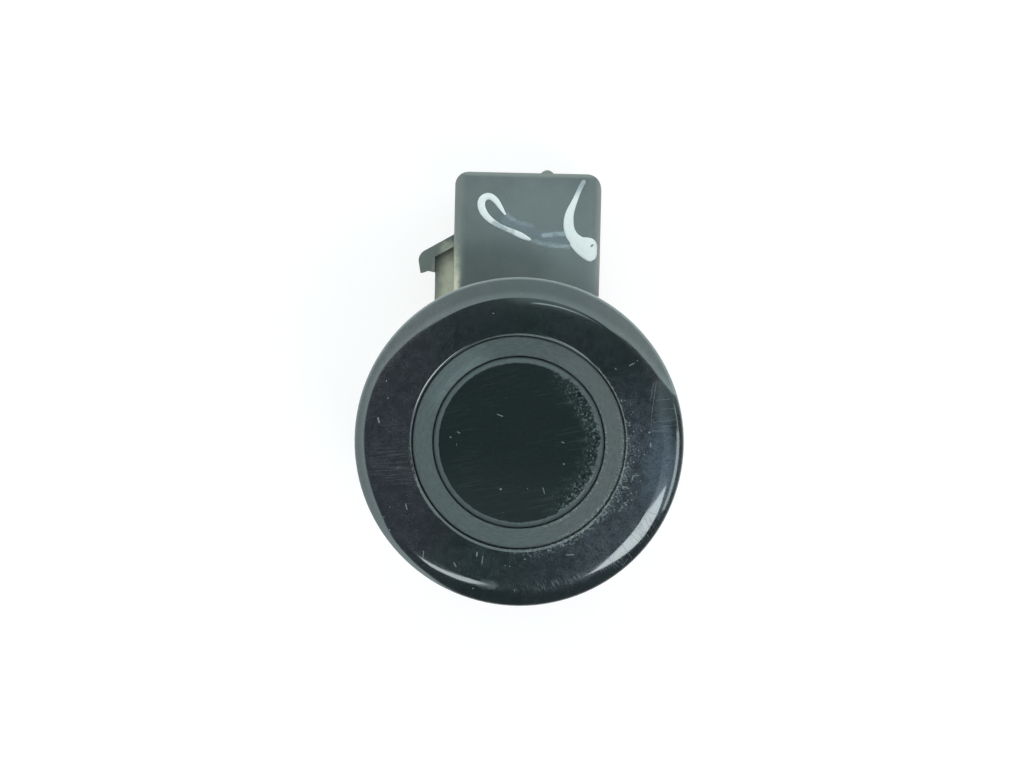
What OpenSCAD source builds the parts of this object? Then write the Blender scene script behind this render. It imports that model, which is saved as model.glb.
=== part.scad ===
// Ultrasonic parking sensor, lying on its back with the sensing face up.
// The origin is on the sensing axis, on the back face of the bezel's flange.
// +Z is the sensing direction and +Y points to the plug socket.

/* [Trim bezel] */
// Outer diameter of the painted flange
bezel_d = 30; // [29:0.5:34]
// Thickness of the flange, from the bumper skin to the face
bezel_h = 2.8; // [2.6:0.1:3.4]
// Width of the rounded rim, seen from the front
rim_w = 1.85; // [1.5:0.05:2]
// Radius of the rounded rim
rim_r = 3.2; // [2.8:0.1:4]
// Round of the edge between the rim and the flange's wall
rim_edge_r = 0.3; // [0.2:0.05:0.4]
// Radius of the slight crown of the face
crown_r = 45; // [30:1:120]
// Round at the front edge of the bore
bore_edge_r = 0.3; // [0.1:0.05:0.5]
// Height of the barrel's end above the flange's back face
lip_z = 0.9; // [0.6:0.1:1.2]
// Wall of the sleeve that goes through the bumper
sleeve_wall = 0.9; // [0.7:0.1:1.1]
// Length of the sleeve behind the flange
sleeve_len = 6; // [5.6:0.1:6.4]
// Thickness of the bumper skin that the barbs hold
skin_t = 3; // [2.4:0.1:3.2]
// Width of each spring leg cut out of the sleeve
leg_w = 5; // [4:0.2:6]
// Width of the slots beside the legs
leg_slot_w = 0.8; // [0.6:0.1:1]
// How far each barb stands out from the sleeve
barb_out = 0.9; // [0.6:0.1:1.1]

/* [Transducer] */
// Outer diameter of the aluminium pot
pot_d = 15.6; // [15:0.1:16]
// Length of the pot
pot_h = 9; // [8.6:0.1:9.4]
// Thickness of the membrane at the pot's front
membrane_t = 0.9; // [0.7:0.1:1.2]
// Round at the front edge of the pot
pot_edge_r = 0.6; // [0.3:0.05:0.8]
// How far the pot's face lies below the bezel's face
pot_drop = 0.1; // [0.05:0.05:0.4]
// Long axis of the pot's oblong cavity
cavity_l = 12.8; // [12:0.1:13.2]
// Short axis of the pot's oblong cavity
cavity_w = 9.2; // [8.8:0.1:9.8]
// Diameter of the piezo disc
piezo_d = 8.4; // [7.6:0.1:8.6]
// Thickness of the piezo disc
piezo_t = 0.4; // [0.3:0.05:0.6]
// Thickness of the damping foam
foam_t = 2.6; // [2:0.1:3.2]
// Diameter of the two lead wires
lead_d = 0.4; // [0.3:0.05:0.5]

/* [Decoupling ring] */
// Visible width of the silicone ring around the pot
ring_w = 1.8; // [1.6:0.1:2]
// How far the ring's face lies below the bezel's face
ring_drop = 0.2; // [0.1:0.05:0.4]
// Open gap between the ring and the bezel's bore
ring_gap = 0.05; // [0.05:0.05:0.2]
// Round at the ring's outer front edge
ring_edge_r = 0.2; // [0.1:0.05:0.3]
// Round at the ring's inner front edge
ring_inner_r = 0.15; // [0.1:0.05:0.25]

/* [Housing] */
// Wall of the barrel that holds the ring
barrel_wall = 1.3; // [1.1:0.1:1.5]
// Wall of the electronics chamber
chamber_wall = 1.3; // [1.1:0.1:1.5]
// Corner radius of the chamber, seen from the front
chamber_corner_r = 4; // [3.2:0.1:5]
// Round of the chamber's front edge
chamber_edge_r = 0.8; // [0.4:0.1:1]
// Thickness of the rear cover
cover_t = 1.4; // [1.2:0.1:1.8]
// Depth of the panel sunk into the rear cover
cover_panel_depth = 0.3; // [0.2:0.05:0.5]

/* [Plug socket] */
// Width of the socket's shroud
shroud_w = 13.75; // [13.2:0.05:14.6]
// Depth of the shroud along the sensing axis
shroud_h = 9.8; // [9.4:0.1:11]
// Distance from the sensing axis to the shroud's mouth
shroud_end_y = 24.65; // [23.6:0.05:28]
// Wall of the shroud
shroud_wall = 1.45; // [1.2:0.05:1.5]
// Round of the shroud's long edges
shroud_edge_r = 1.3; // [0.8:0.1:1.5]
// Round of the shroud's corners at the mouth, seen from the front
mouth_corner_r = 1.35; // [0.6:0.05:1.4]
// Round of the mouth's front edge
mouth_edge_r = 0.4; // [0.2:0.05:0.5]
// Width of the keying rib inside the shroud
key_w = 1.6; // [1.2:0.1:2]
// Height of the keying rib
key_h = 0.7; // [0.5:0.1:0.9]
// Sideways place of the small nub on the mouth's rim
nub_x = 1.8; // [0:0.05:3]
// Height of the nub
nub_h = 0.3; // [0.2:0.05:0.5]

/* [Plug latch] */
// How far the latch nose stands out from the shroud
latch_reach = 3.4; // [3:0.1:3.6]
// Distance from the sensing axis to the latch's catch
latch_y = 15.1; // [14.6:0.1:15.8]
// Slope of the ramp that the plug rides up
latch_ramp_deg = 30; // [26:1:34]
// Round of the nose
latch_nose_r = 1.1; // [0.9:0.05:1.2]
// Thickness of the latch along the sensing axis
latch_t = 4.6; // [3.6:0.1:5.4]
// Thickness of the ramp bar between its two slopes
latch_bar_t = 1; // [0.8:0.05:1.2]
// Thickness of the web between the ramp bar and the shroud, along the sensing axis
web_t = 2.8; // [2:0.1:3.4]
// How far the web and its rib stand out from the shroud
rib_out = 1.85; // [1.5:0.05:2.1]

/* [Terminals] */
// Distance between neighbouring terminals
pin_pitch = 3.2; // [2.8:0.1:3.4]
// Width of each terminal blade
pin_w = 1.5; // [1.2:0.1:1.6]
// Thickness of each terminal blade
pin_t = 0.64; // [0.5:0.02:0.8]
// How far the blades' tips stay behind the shroud's mouth
pin_recess = 4.3; // [4.2:0.1:5]
// Height of the blades above the shroud's inner wall
pin_rise = 2.1; // [1.9:0.1:2.2]

/* [Circuit board] */
// Thickness of the board
board_t = 0.8; // [0.6:0.1:1]
// Distance from the blades to the board
board_drop = 1.2; // [1:0.1:1.4]
// Room for the parts and the potting behind the board
potting_t = 3.2; // [3:0.1:3.8]
// Diameter of the transformer's flanges
core_d = 6.4; // [5.6:0.1:6.8]
// Thickness of the control chip
chip_t = 1.6; // [1.2:0.1:1.8]

/* [Fits] */
// Play between pieces that seat in each other
seat_gap = 0.05; // [0.03:0.01:0.08]
// Play between the bezel's sleeve and the housing's barrel
snap_gap = 0.1; // [0.08:0.01:0.15]

/* [Hidden] */
$fn = 96;
// overrun of cuts, and how deep added forms reach into what carries them
cut = 1;
bury = 0.6;

// radii around the sensing axis, from the pot outwards
pot_r = pot_d / 2;
pot_flange_w = 0.6;
pot_flange_h = 1.1;
ring_in_r = pot_r + seat_gap;
ring_r = ring_in_r + ring_w;
ring_step = 0.5;
ring_body_w = ring_w - ring_step;
barrel_in_r = ring_in_r + ring_body_w + seat_gap;
barrel_r = barrel_in_r + barrel_wall;
bore_r = ring_r + ring_gap;
sleeve_in_r = barrel_r + snap_gap;
sleeve_r = sleeve_in_r + sleeve_wall;
bezel_r = bezel_d / 2;

// levels along the sensing axis, from the front to the back
pot_front_z = bezel_h - pot_drop;
membrane_in_z = pot_front_z - membrane_t;
piezo_back_z = membrane_in_z - piezo_t;
foam_back_z = piezo_back_z - foam_t;
pot_back_z = pot_front_z - pot_h;
ring_front_z = bezel_h - ring_drop;
ring_tail = 0.2;
ring_back_z = pot_back_z - ring_tail;
sleeve_clear = 1;
shoulder_z = -sleeve_len - sleeve_clear;
partition_t = 1.5;
room_z = min(shoulder_z - chamber_wall, ring_back_z - partition_t);
shroud_back_z = shoulder_z - shroud_h;
shroud_mid_z = shoulder_z - shroud_h / 2;
pin_z = shroud_back_z + shroud_wall + pin_rise;
board_front_z = pin_z - board_drop;
board_back_z = board_front_z - board_t;
cover_in_z = board_back_z - potting_t;
back_z = cover_in_z - cover_t;
solder_len = 0.8;
wire_end_z = board_back_z - solder_len;

// outlines across the sensing axis
chamber_margin = 0.5;
chamber_half = barrel_r + chamber_margin;
room_half = chamber_half - chamber_wall;
room_corner_r = chamber_corner_r - chamber_wall;
cover_ledge = 0.6;
cover_rim_w = 1.6;
shroud_half = shroud_w / 2;
shroud_root = 0.2;
socket_floor_t = 2;
socket_floor_y = chamber_half + socket_floor_t;
rim_left = 0.1;
hollow_min_r = 0.3;
mouth_round = min(mouth_corner_r, shroud_wall - rim_left);

// hooked lip of the latch, and how deep its rib reaches into the chamber's wall
lip_share = 0.8;
lip_drop = 0.1;
lip_w = 0.6;
undercut = 0.15;
rib_root = 2;

// snap lugs on the barrel and the windows that take them
lug_w = 4.4;
lug_out = 0.7;
lug_top_z = -1.6;
lug_catch_z = -3.6;
lug_land = 1;
window_play = 0.2;

// spring legs of the bezel
skin_play = 0.1;
barb_land = 0.4;
barb_tip = 0.4;
barb_inset = 0.3;

// board, and the places of the pieces on it, measured from its edges
board_play = 0.3;
board_half = room_half - board_play;
post_w = 1.6;
piezo_lead_x = -2;
ground_lead_x = piezo_d / 2 + (cavity_l - piezo_d) / 4;
pin_edge = 3.4;
pin_bend_y = board_half - pin_edge;
core_edge = 4.4;
core_at = [0, core_edge - board_half];
core_flange_t = 1;
core_post_r = 1.4;
core_top_room = 0.8;
core_h = room_z - board_front_z - core_top_room;
winding_inset = 0.4;
chip_edge = [6, 5];
chip_at = chip_edge - [board_half, board_half];
chip_size = [5, 4];
chip_leg_reach = 1;
buffer_edge = [5.2, 4.9];
buffer_at = [board_half - buffer_edge[0], buffer_edge[1] - board_half];
buffer_size = [3.2, 2.5, 2];
tuning_edge = [5.2, 6.4];
tuning_at = [board_half - tuning_edge[0], board_half - tuning_edge[1]];
tuning_size = [2, 1.25, 1.2];
resistor_edge = [3.2, 5.2];
resistor_pitch = 2;
resistor_size = [2, 1.25, 0.6];
resistor_at = [
  for (i = [-1:1])
    [resistor_edge[0] - board_half, board_half - resistor_edge[1] + i * resistor_pitch]
];

// rectangle around the origin with rounded corners
module rounded_rect(w, h, r) {
  square([w - 2 * r, h], center = true);
  square([w, h - 2 * r], center = true);
  for (x = [-1, 1], y = [-1, 1])
    translate([x * (w / 2 - r), y * (h / 2 - r)])
      circle(r);
}

// rectangle on the x axis whose two upper corners are rounded
module arch(w, h, r) {
  translate([-w / 2, 0])
    square([w, h - r]);
  translate([-w / 2 + r, 0])
    square([w - 2 * r, h]);
  for (x = [-1, 1])
    translate([x * (w / 2 - r), h - r])
      circle(r);
}

// the piece of a square corner that a round takes away; the corner points to +x and +y
module corner_waste(r) {
  difference() {
    translate([-r, -r])
      square(r + cut);
    translate([-r, -r])
      circle(r);
  }
}

// oblong with half-round ends along x
module oblong(l, w) {
  square([l - w, w], center = true);
  for (x = [-1, 1])
    translate([x * (l - w) / 2, 0])
      circle(w / 2);
}

// box between two levels, centred on a point of the board
module board_box(at, size, from_z, to_z, play = 0) {
  translate([at[0] - size[0] / 2 - play, at[1] - size[1] / 2 - play, from_z])
    cube([size[0] + 2 * play, size[1] + 2 * play, to_z - from_z]);
}

// part of a turned ring that lies within a width along +x
module turned_piece(w) {
  intersection() {
    rotate_extrude()
      children();
    translate([0, -w / 2, -chamber_half])
      cube([2 * bezel_r, w, 2 * chamber_half]);
  }
}

// half section of the flange: a crowned face that runs smoothly into the rim and its edge
module flange_section() {
  crown_at = [bore_r + bore_edge_r, bezel_h - crown_r];
  join_x = bezel_r - rim_w;
  tilt = asin((join_x - crown_at[0]) / crown_r);
  rim_at = crown_at + (crown_r - rim_r) * [sin(tilt), cos(tilt)];
  edge_x = bezel_r - rim_edge_r;
  edge_tilt = asin((edge_x - rim_at[0]) / (rim_r - rim_edge_r));
  edge_z = rim_at[1] + (rim_r - rim_edge_r) * cos(edge_tilt);
  difference() {
    union() {
      intersection() {
        translate([bore_r, 0])
          square([join_x - bore_r, bezel_h]);
        translate(crown_at)
          circle(crown_r, $fn = 720);
      }
      intersection() {
        translate([bore_r, 0])
          square([rim_at[0] + rim_r * sin(edge_tilt) - bore_r, bezel_h]);
        translate(rim_at)
          circle(rim_r);
      }
      translate([bore_r, 0])
        square([bezel_r - bore_r, edge_z]);
      translate([edge_x, edge_z])
        circle(rim_edge_r);
    }
    translate([bore_r, bezel_h])
      mirror([1, 0])
        corner_waste(bore_edge_r);
    translate([bore_r - cut, -cut])
      square([sleeve_in_r - bore_r + cut, lip_z + cut]);
  }
}

// painted ring with its face, its sleeve, four spring legs and two windows
module trim_bezel() {
  barb_z = -skin_t - skin_play;
  barb_tip_z = -sleeve_len + barb_tip;
  color([0.13, 0.14, 0.15])
    union() {
      difference() {
        rotate_extrude($fn = 180)
          union() {
            flange_section();
            translate([sleeve_in_r, -sleeve_len])
              square([sleeve_wall, sleeve_len + lip_z]);
          }
        for (a = [45:90:315], y = [-1, 1])
          rotate(a)
            translate([sleeve_in_r - cut, y * (leg_w + leg_slot_w) / 2 - leg_slot_w / 2, -sleeve_len - cut])
              cube([sleeve_wall + 2 * cut, leg_slot_w, sleeve_len]);
        for (a = [0, 180])
          rotate(a)
            translate([sleeve_in_r - cut, -lug_w / 2 - window_play, lug_catch_z - seat_gap])
              cube([sleeve_wall + 2 * cut, lug_w + 2 * window_play, lug_top_z - lug_catch_z + window_play]);
      }
      for (a = [45:90:315])
        rotate(a)
          turned_piece(leg_w - 2 * barb_inset)
            polygon([
              [sleeve_r - sleeve_wall / 2, barb_z],
              [sleeve_r + barb_out, barb_z],
              [sleeve_r + barb_out, barb_z - barb_land],
              [sleeve_r, barb_tip_z],
              [sleeve_r - sleeve_wall / 2, barb_tip_z]
            ]);
    }
}

// silicone ring between the pot and the barrel
module decoupling_ring() {
  flange_r = pot_r + pot_flange_w + seat_gap;
  color([0.36, 0.38, 0.37])
    rotate_extrude()
      difference() {
        union() {
          difference() {
            translate([ring_in_r, lip_z])
              square([ring_w, ring_front_z - lip_z]);
            translate([ring_r, ring_front_z])
              corner_waste(ring_edge_r);
            translate([ring_in_r, ring_front_z])
              mirror([1, 0])
                corner_waste(ring_inner_r);
          }
          translate([ring_in_r, ring_back_z])
            square([ring_body_w, lip_z - ring_back_z + ring_edge_r]);
        }
        translate([ring_in_r - cut, ring_back_z - cut])
          square([flange_r - ring_in_r + cut, pot_back_z + pot_flange_h - ring_back_z + cut]);
      }
}

// aluminium pot, closed at the front by the membrane, with an oblong cavity
module membrane_pot() {
  color([0.16, 0.17, 0.18])
    difference() {
      rotate_extrude()
        union() {
          difference() {
            translate([0, pot_back_z])
              square([pot_r, pot_h]);
            translate([pot_r, pot_front_z])
              corner_waste(pot_edge_r);
          }
          translate([0, pot_back_z])
            square([pot_r + pot_flange_w, pot_flange_h]);
        }
      translate([0, 0, pot_back_z - cut])
        linear_extrude(membrane_in_z - pot_back_z + cut)
          oblong(cavity_l, cavity_w);
    }
}

// ceramic disc glued to the inside of the membrane
module piezo_disc() {
  color([0.78, 0.76, 0.7])
    translate([0, 0, piezo_back_z])
      cylinder(d = piezo_d, h = piezo_t);
}

// one lead, or with play the hole that it runs through
module lead(x, from_z, to_z, play = 0) {
  translate([x, 0, to_z])
    cylinder(d = lead_d + 2 * play, h = from_z - to_z, $fn = 32);
}

// both lead holes through whatever lies between two levels
module lead_holes(from_z, to_z) {
  lead(piezo_lead_x, from_z + cut, to_z - cut, seat_gap);
  lead(ground_lead_x, from_z + cut, to_z - cut, seat_gap);
}

// filling of the pot's cavity between two levels, with holes for the leads
module cavity_fill(from_z, to_z) {
  difference() {
    translate([0, 0, to_z])
      linear_extrude(from_z - to_z)
        oblong(cavity_l - 2 * seat_gap, cavity_w - 2 * seat_gap);
    lead_holes(from_z, to_z);
  }
}

// foam pad behind the piezo disc
module damping_foam() {
  color([0.85, 0.83, 0.74])
    cavity_fill(piezo_back_z, foam_back_z);
}

// silicone that closes the pot behind the foam
module pot_plug() {
  color([0.72, 0.72, 0.7])
    cavity_fill(foam_back_z, pot_back_z);
}

// wire from the piezo disc to the board
module piezo_lead() {
  color([0.8, 0.45, 0.3])
    lead(piezo_lead_x, piezo_back_z, wire_end_z);
}

// wire from the membrane to the board
module ground_lead() {
  color([0.8, 0.45, 0.3])
    lead(ground_lead_x, membrane_in_z, wire_end_z);
}

// side view of the chamber, drawn out across it
module chamber_side(turn) {
  size = 2 * chamber_half;
  rotate([90, 0, turn])
    translate([0, back_z, -size])
      linear_extrude(2 * size)
        arch(size, shoulder_z - back_z, chamber_edge_r);
}

// outside of the electronics chamber, rounded at the front
module chamber_block() {
  size = 2 * chamber_half;
  intersection() {
    translate([0, 0, back_z])
      linear_extrude(shoulder_z - back_z)
        rounded_rect(size, size, chamber_corner_r);
    chamber_side(0);
    chamber_side(90);
  }
}

// outside of the plug socket, rounded along its length and at its mouth
module shroud_block() {
  from_y = room_half + shroud_root;
  intersection() {
    translate([0, from_y, shroud_back_z - cut])
      linear_extrude(shroud_h + 2 * cut)
        arch(shroud_w, shroud_end_y - from_y, mouth_round);
    translate([0, from_y, shroud_mid_z])
      rotate([-90, 0, 0])
        linear_extrude(shroud_end_y - from_y + cut)
          rounded_rect(shroud_w, shroud_h, shroud_edge_r);
    translate([0, from_y, shroud_mid_z])
      rotate([90, 0, 90])
        linear_extrude(2 * shroud_w, center = true)
          difference() {
            translate([0, -shroud_h])
              square([shroud_end_y - from_y, 2 * shroud_h]);
            translate([shroud_end_y - from_y, shroud_h / 2])
              corner_waste(mouth_edge_r);
          }
  }
}

// hollow of the plug socket, with the keying rib left standing
module socket_hollow() {
  hollow_w = shroud_w - 2 * shroud_wall;
  hollow_h = shroud_h - 2 * shroud_wall;
  hollow_r = max(hollow_min_r, shroud_edge_r - shroud_wall / 2);
  translate([0, socket_floor_y, shroud_mid_z])
    rotate([-90, 0, 0])
      linear_extrude(shroud_end_y - socket_floor_y + cut)
        difference() {
          rounded_rect(hollow_w, hollow_h, hollow_r);
          translate([-key_w / 2, hollow_h / 2 - key_h])
            square([key_w, key_h + cut]);
        }
}

// outline of the whole latch, from the shroud's wall to the rounded nose
module latch_outline() {
  nose = [-shroud_half - latch_reach + latch_nose_r, latch_y + latch_nose_r];
  ramp_end = nose + latch_nose_r * [-sin(latch_ramp_deg), cos(latch_ramp_deg)];
  root_x = -shroud_half + bury;
  rib_x = -shroud_half - rib_out;
  lip = [nose[0] - lip_share * latch_nose_r, latch_y - lip_drop];
  union() {
    polygon([
      [root_x, ramp_end[1] + (root_x - ramp_end[0]) * tan(latch_ramp_deg)],
      ramp_end,
      nose,
      nose - [latch_nose_r, 0],
      lip,
      [lip[0] + lip_w, latch_y + undercut],
      [rib_x, latch_y],
      [rib_x, chamber_half - rib_root],
      [root_x, chamber_half - rib_root]
    ]);
    translate(nose)
      intersection() {
        circle(latch_nose_r);
        translate([-2 * latch_nose_r, 0])
          square(2 * latch_nose_r);
      }
  }
}

// the part of the outline below the ramp bar, where only the thinner web stands
module web_outline() {
  nose = [-shroud_half - latch_reach + latch_nose_r, latch_y + latch_nose_r];
  rib_x = -shroud_half - rib_out;
  under_bar = nose + (latch_bar_t - latch_nose_r) * [sin(latch_ramp_deg), -cos(latch_ramp_deg)];
  slope = tan(latch_ramp_deg);
  polygon([
    [rib_x, under_bar[1] + (rib_x - under_bar[0]) * slope],
    [rib_x, 0],
    [0, 0],
    [0, under_bar[1] - under_bar[0] * slope]
  ]);
}

// hooked ramp bar on a web and rib beside the shroud, on which the plug locks
module latch() {
  translate([0, 0, shroud_mid_z])
    union() {
      linear_extrude(web_t, center = true)
        latch_outline();
      linear_extrude(latch_t, center = true)
        difference() {
          latch_outline();
          web_outline();
        }
    }
}

// wedge lug on the barrel that snaps into a window of the bezel
module snap_lug() {
  turned_piece(lug_w)
    polygon([
      [barrel_r - bury, lug_top_z],
      [barrel_r, lug_top_z],
      [barrel_r + lug_out, lug_catch_z + lug_land],
      [barrel_r + lug_out, lug_catch_z],
      [barrel_r - bury, lug_catch_z]
    ]);
}

// low round nub on the front wall of the mouth
module mouth_nub() {
  nub_r = 0.7;
  translate([nub_x, shroud_end_y + nub_h - nub_r, shoulder_z - shroud_wall])
    cylinder(r = nub_r, h = shroud_wall - mouth_edge_r, $fn = 64);
}

// posts that the board rests on
module board_posts() {
  at = room_half - post_w / 2;
  for (x = [-at, at], y = [-at, at])
    translate([x - post_w / 2, y - post_w / 2, board_front_z])
      cube([post_w, post_w, room_z - board_front_z + bury]);
}

// the electronics room behind the partition, with its posts left standing
module electronics_room() {
  difference() {
    union() {
      translate([0, 0, cover_in_z - cut])
        linear_extrude(room_z - cover_in_z + cut)
          rounded_rect(2 * room_half, 2 * room_half, room_corner_r);
      translate([0, 0, back_z - cut])
        linear_extrude(cover_t + cut)
          cover_outline(0);
    }
    board_posts();
  }
}

// moulded body: barrel, electronics chamber, plug socket and latch in one piece
module housing() {
  color([0.3, 0.31, 0.31])
    difference() {
      union() {
        translate([0, 0, shoulder_z - bury])
          cylinder(r = barrel_r, h = lip_z - shoulder_z + bury);
        chamber_block();
        shroud_block();
        latch();
        mouth_nub();
        for (a = [0, 180])
          rotate(a)
            snap_lug();
      }
      translate([0, 0, ring_back_z])
        cylinder(r = barrel_in_r, h = lip_z - ring_back_z + cut);
      electronics_room();
      socket_hollow();
      lead_holes(ring_back_z, room_z);
      for (i = [-1:1])
        translate([i * pin_pitch - pin_w / 2 - seat_gap, room_half - cut, pin_z - pin_t / 2 - seat_gap])
          cube([pin_w + 2 * seat_gap, socket_floor_y - room_half + 2 * cut, pin_t + 2 * seat_gap]);
    }
}

// bare board with holes for the terminals and the leads
module circuit_board() {
  color([0.12, 0.36, 0.2])
    difference() {
      translate([0, 0, board_back_z])
        linear_extrude(board_t)
          rounded_rect(2 * board_half, 2 * board_half, room_corner_r);
      lead_holes(board_front_z, board_back_z);
      for (i = [-1:1])
        pin_leg(i, board_front_z + cut, board_back_z - cut, seat_gap);
    }
}

// upright leg of a terminal, or with play the hole that it runs through
module pin_leg(i, from_z, to_z, play = 0) {
  translate([i * pin_pitch - pin_w / 2 - play, pin_bend_y - play, to_z])
    cube([pin_w + 2 * play, pin_t + 2 * play, from_z - to_z]);
}

// blade in the socket, bent down to the board, with a tapered tip
module terminal(i) {
  tip_y = shroud_end_y - pin_recess;
  tip_l = 1;
  tip_half = pin_t / 6;
  translate([i * pin_pitch - pin_w / 2, 0, 0])
    rotate([90, 0, 90])
      linear_extrude(pin_w)
        polygon([
          [pin_bend_y, pin_z + pin_t / 2],
          [pin_bend_y, wire_end_z],
          [pin_bend_y + pin_t, wire_end_z],
          [pin_bend_y + pin_t, pin_z - pin_t / 2],
          [tip_y - tip_l, pin_z - pin_t / 2],
          [tip_y, pin_z - tip_half],
          [tip_y, pin_z + tip_half],
          [tip_y - tip_l, pin_z + pin_t / 2]
        ]);
}

// blade for the supply
module terminal_supply() {
  color([0.75, 0.74, 0.7])
    terminal(-1);
}

// blade for the signal
module terminal_signal() {
  color([0.75, 0.74, 0.7])
    terminal(0);
}

// blade for the ground
module terminal_ground() {
  color([0.75, 0.74, 0.7])
    terminal(1);
}

// ferrite drum of the transformer
module transformer_core() {
  color([0.2, 0.2, 0.21])
    translate([core_at[0], core_at[1], board_front_z])
      union() {
        cylinder(d = core_d, h = core_flange_t);
        cylinder(r = core_post_r, h = core_h);
        translate([0, 0, core_h - core_flange_t])
          cylinder(d = core_d, h = core_flange_t);
      }
}

// copper winding around the drum's post
module transformer_winding() {
  winding_r = core_d / 2 - winding_inset;
  color([0.72, 0.42, 0.24])
    translate([core_at[0], core_at[1], board_front_z + core_flange_t])
      rotate_extrude()
        translate([core_post_r + seat_gap, 0])
          square([winding_r - core_post_r - seat_gap, core_h - 2 * core_flange_t]);
}

// control chip with four legs on each side
module control_chip() {
  chip_leg_w = 0.4;
  leg_pitch = 1.27;
  leg_t = 0.3;
  standoff = 0.1;
  color([0.1, 0.1, 0.11])
    union() {
      board_box(chip_at, chip_size, board_back_z - chip_t, board_back_z - standoff);
      for (i = [-1.5:1:1.5])
        board_box(
          [chip_at[0] + i * leg_pitch, chip_at[1]],
          [chip_leg_w, chip_size[1] + 2 * chip_leg_reach],
          board_back_z - leg_t,
          board_back_z
        );
    }
}

// capacitor that buffers the supply
module buffer_capacitor() {
  color([0.7, 0.55, 0.35])
    board_box(buffer_at, buffer_size, board_back_z - buffer_size[2], board_back_z);
}

// capacitor that tunes the transducer
module tuning_capacitor() {
  color([0.7, 0.55, 0.35])
    board_box(tuning_at, tuning_size, board_back_z - tuning_size[2], board_back_z);
}

// row of chip resistors
module chip_resistors() {
  color([0.15, 0.15, 0.16])
    for (at = resistor_at)
      board_box(at, resistor_size, board_back_z - resistor_size[2], board_back_z);
}

// pocket that the resin leaves around a part behind the board
module part_pocket(at, size) {
  board_box(at, size, board_back_z - size[2] - seat_gap, board_back_z + cut, seat_gap);
}

// cast resin that fills the room behind the board around the parts
module potting() {
  half = room_half - seat_gap;
  chip_room = [chip_size[0], chip_size[1] + 2 * chip_leg_reach, chip_t];
  color([0.08, 0.08, 0.09])
    difference() {
      translate([0, 0, cover_in_z])
        linear_extrude(potting_t)
          rounded_rect(2 * half, 2 * half, room_corner_r);
      part_pocket(chip_at, chip_room);
      part_pocket(buffer_at, buffer_size);
      part_pocket(tuning_at, tuning_size);
      for (at = resistor_at)
        part_pocket(at, resistor_size);
      for (x = [piezo_lead_x, ground_lead_x])
        lead(x, board_back_z + cut, wire_end_z - seat_gap, seat_gap);
      for (i = [-1:1])
        pin_leg(i, board_back_z + cut, wire_end_z - seat_gap, seat_gap);
    }
}

// outline of the rear cover, smaller by the given play
module cover_outline(play) {
  half = room_half + cover_ledge - play;
  rounded_rect(2 * half, 2 * half, room_corner_r + cover_ledge - play);
}

// plate that closes the chamber, with a sunk panel
module rear_cover() {
  panel_half = room_half - cover_rim_w;
  color([0.26, 0.27, 0.27])
    difference() {
      translate([0, 0, back_z])
        linear_extrude(cover_t)
          cover_outline(seat_gap);
      translate([0, 0, back_z - cut])
        linear_extrude(cover_panel_depth + cut)
          rounded_rect(2 * panel_half, 2 * panel_half, room_corner_r);
    }
}

trim_bezel();
decoupling_ring();
membrane_pot();
piezo_disc();
damping_foam();
pot_plug();
piezo_lead();
ground_lead();
housing();
circuit_board();
transformer_core();
transformer_winding();
control_chip();
buffer_capacitor();
tuning_capacitor();
chip_resistors();
terminal_supply();
terminal_signal();
terminal_ground();
potting();
rear_cover();
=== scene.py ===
# %% [markdown]
# # A parking sensor, dressed and lit
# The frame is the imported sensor: a bezel, a silicone ring, a metal pot and a housing with a plug
# socket, with the working parts sealed inside. Its shapes are right already, so this lesson leaves
# them alone and spends its time on what a photograph adds: where the camera stands, what the gloss
# paint reflects, and how each surface has aged.

# %% Load the frame
from math import cos, pi, radians, sin

import bmesh
import bpy
from mathutils import Matrix, Vector
from mathutils.bvhtree import BVHTree


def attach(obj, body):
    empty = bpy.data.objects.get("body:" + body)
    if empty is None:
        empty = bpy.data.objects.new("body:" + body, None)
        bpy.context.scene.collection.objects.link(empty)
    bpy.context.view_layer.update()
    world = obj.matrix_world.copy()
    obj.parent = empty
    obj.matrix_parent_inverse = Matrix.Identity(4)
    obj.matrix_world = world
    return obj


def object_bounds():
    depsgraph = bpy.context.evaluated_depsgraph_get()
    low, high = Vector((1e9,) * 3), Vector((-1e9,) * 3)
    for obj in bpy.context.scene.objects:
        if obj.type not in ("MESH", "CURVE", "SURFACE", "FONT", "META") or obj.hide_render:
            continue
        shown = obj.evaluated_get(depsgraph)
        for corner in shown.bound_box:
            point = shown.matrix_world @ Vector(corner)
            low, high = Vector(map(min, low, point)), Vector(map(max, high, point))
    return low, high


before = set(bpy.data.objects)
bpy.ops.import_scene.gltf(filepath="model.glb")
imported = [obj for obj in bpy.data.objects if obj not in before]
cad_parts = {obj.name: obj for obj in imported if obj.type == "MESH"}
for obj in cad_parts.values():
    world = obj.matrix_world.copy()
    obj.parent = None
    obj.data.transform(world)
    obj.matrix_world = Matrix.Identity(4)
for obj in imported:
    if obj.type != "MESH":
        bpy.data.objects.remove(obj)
cad_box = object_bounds()
MM = 0.001
scene = bpy.context.scene
scene.view_settings.view_transform = "Standard"


def in_mm(box):
    """The corners of a box in metres, as rounded millimetres to print."""
    return [[round(v / MM, 2) for v in corner] for corner in box]


print("nodes:", len(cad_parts), "box:", in_mm(cad_box))

# %% [markdown]
# ## The camera
# The sensor lies on its back and is seen almost straight from above, from a hand's length away.
# The camera could be turned with Euler angles, but a view that leans a little is easier to set
# from three directions: where it looks, what is right and what is up. The columns of a rotation
# matrix are exactly those.

# %% Camera
eye = Vector((8.085, 18.137, 259.867)) * MM
aim = Vector((-0.788, 5.198, 0.5)) * MM
lean = radians(1.334)
back = (eye - aim).normalized()
level_right = Vector((0, 1, 0)).cross(back).normalized()
level_up = back.cross(level_right)
right = level_right * cos(lean) + level_up * sin(lean)
up = back.cross(right)

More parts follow.
